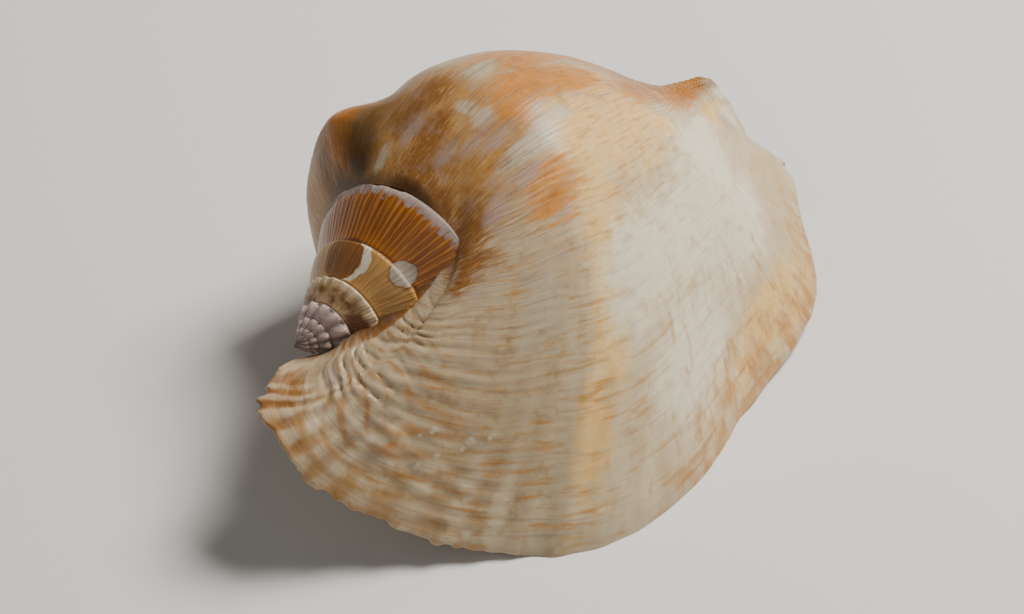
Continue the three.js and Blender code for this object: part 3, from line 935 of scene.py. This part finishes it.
chalk_mask = times(tree, ragged(tree, chalked, fibre, raggedness=1.3, softness=0.35), CHALK_SHARE)
colour = blend(tree, chalk_mask, colour, CHALK)
dark = spanned(tree, fibre, low=0.45, high=0.9, most=0.6)
colour = blend(tree, times(tree, dark, streaky), colour, BROWN)
line_swing = times(tree, cloud, CANAL_LINE_SWING)
line_wave = maths(tree, "MULTIPLY_ADD", lined, 2 * math.pi * CANAL_LINE_COUNT, line_swing)
canal_line = spanned(tree, maths(tree, "SINE", line_wave), low=0.1, high=1, most=0.6)
colour = blend(tree, times(tree, canal_line, from_mesh(tree, "canal")), colour, BROWN)
colour = blend(tree, from_mesh(tree, "groove"), colour, OCHRE, share=0.75)
faded = spanned(tree, patchy, low=0.5, high=0.7, most=0.45)
faded = times(tree, faded, maths(tree, "MULTIPLY_ADD", orange_mask, -FADING_LOSS_ON_ORANGE, 1))
colour = blend(tree, faded, colour, blend(tree, pale, CHALK, PALE))
soiled = spanned(tree, patchy, low=0.5, high=0.3, most=0.4)
colour = blend(tree, soiled, colour, blend(tree, pale, BROWN, TAN))
crust = ragged(tree, from_mesh(tree, "crust"), grain, raggedness=1.2, softness=0.2)
colour = blend(tree, crust, colour, BONE)
# Painted shade darkens the crevice beside the spire and the valley below the knob
colour = blend(tree, from_mesh(tree, "shade"), colour, PAINTED_SHADE, share=0.85)
roughness = spanned(tree, chalk_mask, low=0, high=1, least=0.36, most=0.75)
height = maths(tree, "ADD", times(tree, fibre, streaky), times(tree, grain, GRAIN_HEIGHT))
finish_surface(tree, colour, roughness, height, depth=0.06 * MM)
tree.nodes["Principled BSDF"].inputs["Specular IOR Level"].default_value = OUTSIDE_SHINE

# The glossy spire: its colours follow its age along the coil, in degrees. It is pink at the tip, then cream
# with brown blots, then ochre and last deep orange. Worn marks on it have a middle and a radius.
YOUNG_ENDS = (-1330, -1230)
BLOTTED_ENDS = (-960, -840)
OCHRE_ENDS = (-590, -490)
RIM_WEAR = (0.58, 0.97)
# Shares of each whorl over which painted shade darkens it towards its suture
SUTURE_SHADE = (0.07, 0)
CRESCENT_OUTSIDE = (-43.3, 17.8, 53.8)
CRESCENT_INSIDE = (-43.8, 19.9, 52.8)
CRESCENT_RADIUS = 5.6
SCAR = (-38.2, 5.3, 53.1)
SCAR_RADIUS = 3.3
SCAR_EDGE = 0.35
EDGE_SWING = 1.2
EDGE_BLUR = 0.2
LINE_SPACING = 4.2
LINE_SWING = 3
LINE_HEIGHT = 0.6
THREAD_HEIGHT = 0.5
tree = finishes[SPIRE].node_tree
across_whorl = from_mesh(tree, "share")
along_coil = from_mesh(tree, "coil")
where = in_object(tree)
thread = streak(tree, across_whorl, along_coil, across=1.2, along=0.3, seed=5)
stain = streak(tree, across_whorl, along_coil, across=1.5, along=0.028, seed=6)
mottle = noise(tree, where, scale=420, detail=5)


def round_mark(tree, where, mottle, middle, radius):
    """Mask of a round mark, with an uneven edge."""
    gap = place(tree, "ShaderNodeVectorMath", {0: where, 1: Vector(middle) * MM}, operation="DISTANCE")
    uneven = maths(tree, "MULTIPLY_ADD", mottle, 2 * EDGE_SWING * MM, gap.outputs["Value"])
    edge = radius + EDGE_SWING
    return spanned(tree, uneven, low=(edge + EDGE_BLUR) * MM, high=(edge - EDGE_BLUR) * MM)


rim = spanned(tree, across_whorl, *RIM_WEAR)
blots = ragged(tree, stain, mottle, raggedness=0.25, softness=0.35)
blotted = blend(tree, blots, blend(tree, mottle, TAN, CREAM), BROWN)
blotted = blend(tree, rim, blotted, PALE, share=0.8)
rib = maths(tree, "COSINE", times(tree, along_coil, math.radians(RIB_COUNT)))
ribbed = blend(tree, spanned(tree, rib, low=-1.2, high=0.8), LAVENDER, ROSE)
colour = blend(tree, spanned(tree, along_coil, *YOUNG_ENDS), ribbed, blotted)
colour = blend(tree, spanned(tree, along_coil, *BLOTTED_ENDS), colour, blend(tree, thread, OCHRE, TAN))
last = spanned(tree, along_coil, *OCHRE_ENDS)
line_swing = times(tree, thread, LINE_SWING)
line_wave = maths(tree, "MULTIPLY_ADD", along_coil, 2 * math.pi / LINE_SPACING, line_swing)
line = spanned(tree, maths(tree, "SINE", line_wave), low=0, high=1)
threads = maths(tree, "MULTIPLY_ADD", line, LINE_HEIGHT, times(tree, thread, THREAD_HEIGHT))
colour = blend(tree, last, colour, blend(tree, threads, DEEP_ORANGE, AMBER))
worn_rim = ragged(tree, times(tree, rim, last), mottle, raggedness=1.2, softness=0.12)
colour = blend(tree, worn_rim, colour, blend(tree, mottle, LAVENDER, CHALK))
crescent = round_mark(tree, where, mottle, CRESCENT_OUTSIDE, CRESCENT_RADIUS)
hollow = round_mark(tree, where, mottle, CRESCENT_INSIDE, CRESCENT_RADIUS)
crescent = times(tree, crescent, maths(tree, "SUBTRACT", 1, hollow))
crescent = times(tree, crescent, maths(tree, "SUBTRACT", 1, last))
colour = blend(tree, hollow, colour, BROWN, share=0.8)
colour = blend(tree, crescent, colour, blend(tree, mottle, BONE, WHITE))
# Painted shade, darkest in the suture between whorls
colour = blend(tree, spanned(tree, across_whorl, *SUTURE_SHADE), colour, PAINTED_SHADE, share=0.85)
scar_edge = round_mark(tree, where, mottle, SCAR, SCAR_RADIUS + SCAR_EDGE)
colour = blend(tree, scar_edge, colour, BROWN, share=0.8)
scar = round_mark(tree, where, mottle, SCAR, SCAR_RADIUS)
colour = blend(tree, scar, colour, blend(tree, mottle, LAVENDER, BONE))
dull = maths(tree, "MAXIMUM", worn_rim, scar)
roughness = spanned(tree, dull, low=0, high=1, least=0.28, most=0.7)
finish_surface(tree, colour, roughness, threads, depth=0.2 * MM)

# The glazed lining thins out over the body whorl, and the outside's colours show through its edge there
GLAZE_FADES = 0.32
EDGE_WHITENS = (0.5, 1)
tree = finishes[LINING].node_tree
spiral = from_mesh(tree, "spiral")
growth = from_mesh(tree, "growth")
where = in_object(tree)
cloud = noise(tree, where, scale=40, detail=3)
fibre = streak(tree, spiral, growth, across=12, along=60, seed=9)
glaze = blend(tree, spanned(tree, growth, *EDGE_WHITENS), blend(tree, cloud, APRICOT, CREAM), WHITE)
inside_mouth = maths(tree, "ABSOLUTE", maths(tree, "ADD", growth, MOUTH_STARTS / WALL_START))
thin = spanned(tree, inside_mouth, low=GLAZE_FADES, high=0)
thin = ragged(tree, thin, fibre, raggedness=0.5, softness=0.45)
under = blend(tree, fibre, CREAM, GREY_CREAM)
under = blend(tree, from_mesh(tree, "ramp"), under, blend(tree, fibre, TAN, OCHRE))
roughness = spanned(tree, cloud, low=0, high=1, least=0.15, most=0.32)
finish_surface(tree, blend(tree, thin, glaze, under), roughness, cloud, depth=0.3 * MM)

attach(shell, "root")
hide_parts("shell")

# Studio: a plain pale floor, one broad soft light from the upper right, a weak one from the left,
# and a camera at the photograph's angle
FLOOR_SIZE = 6
FLOOR_COLOUR = (0.78, 0.77, 0.75, 1)
FLOOR_ROUGHNESS = 0.7
SKY_COLOUR = (1, 0.98, 0.95, 1)
SKY_STRENGTH = 0.13
CAMERA_AIM = Vector((-12.804, -5.246, 31.878)) * MM
CAMERA_TURN = math.radians(-45)
CAMERA_LIFT = math.radians(45)
CAMERA_DISTANCE = 1.0
LENS = 147.656
SENSOR_WIDTH = 36

floor_mesh = bmesh.new()
bmesh.ops.create_grid(floor_mesh, x_segments=1, y_segments=1, size=FLOOR_SIZE / 2)
paint = bpy.data.materials.new("Pale floor")
paint.use_nodes = True
paint.node_tree.nodes["Principled BSDF"].inputs["Base Color"].default_value = FLOOR_COLOUR
paint.node_tree.nodes["Principled BSDF"].inputs["Roughness"].default_value = FLOOR_ROUGHNESS
floor = add_object("floor", floor_mesh, [paint])

back = Vector((
    math.sin(CAMERA_TURN) * math.cos(CAMERA_LIFT),
    -math.cos(CAMERA_TURN) * math.cos(CAMERA_LIFT),
    math.sin(CAMERA_LIFT),
))


def add_light(name, way, distance, size, power, colour):
    lamp = bpy.data.lights.new(name, "AREA")
    lamp.size = size
    lamp.energy = power
    lamp.color = colour
    light = bpy.data.objects.new(name, lamp)
    light.location = CAMERA_AIM + Vector(way).normalized() * distance
    light.rotation_euler = Vector(way).to_track_quat("Z", "Y").to_euler()
    bpy.context.collection.objects.link(light)


add_light("key", way=(0.55, -0.12, 0.8), distance=1.2, size=0.5, power=24, colour=(1, 0.96, 0.9))
add_light("fill", way=(-0.8, -0.2, 0.5), distance=1.3, size=1.0, power=1.5, colour=(0.96, 0.98, 1))
sky = bpy.data.worlds.new("sky")
sky.use_nodes = True
sky.node_tree.nodes["Background"].inputs["Color"].default_value = SKY_COLOUR
sky.node_tree.nodes["Background"].inputs["Strength"].default_value = SKY_STRENGTH
bpy.context.scene.world = sky

lens = bpy.data.cameras.new("camera")
lens.lens = LENS
lens.sensor_width = SENSOR_WIDTH
camera = bpy.data.objects.new("camera", lens)
camera.location = CAMERA_AIM + back * CAMERA_DISTANCE
camera.rotation_euler = back.to_track_quat("Z", "Y").to_euler()
bpy.context.collection.objects.link(camera)
bpy.context.scene.camera = camera
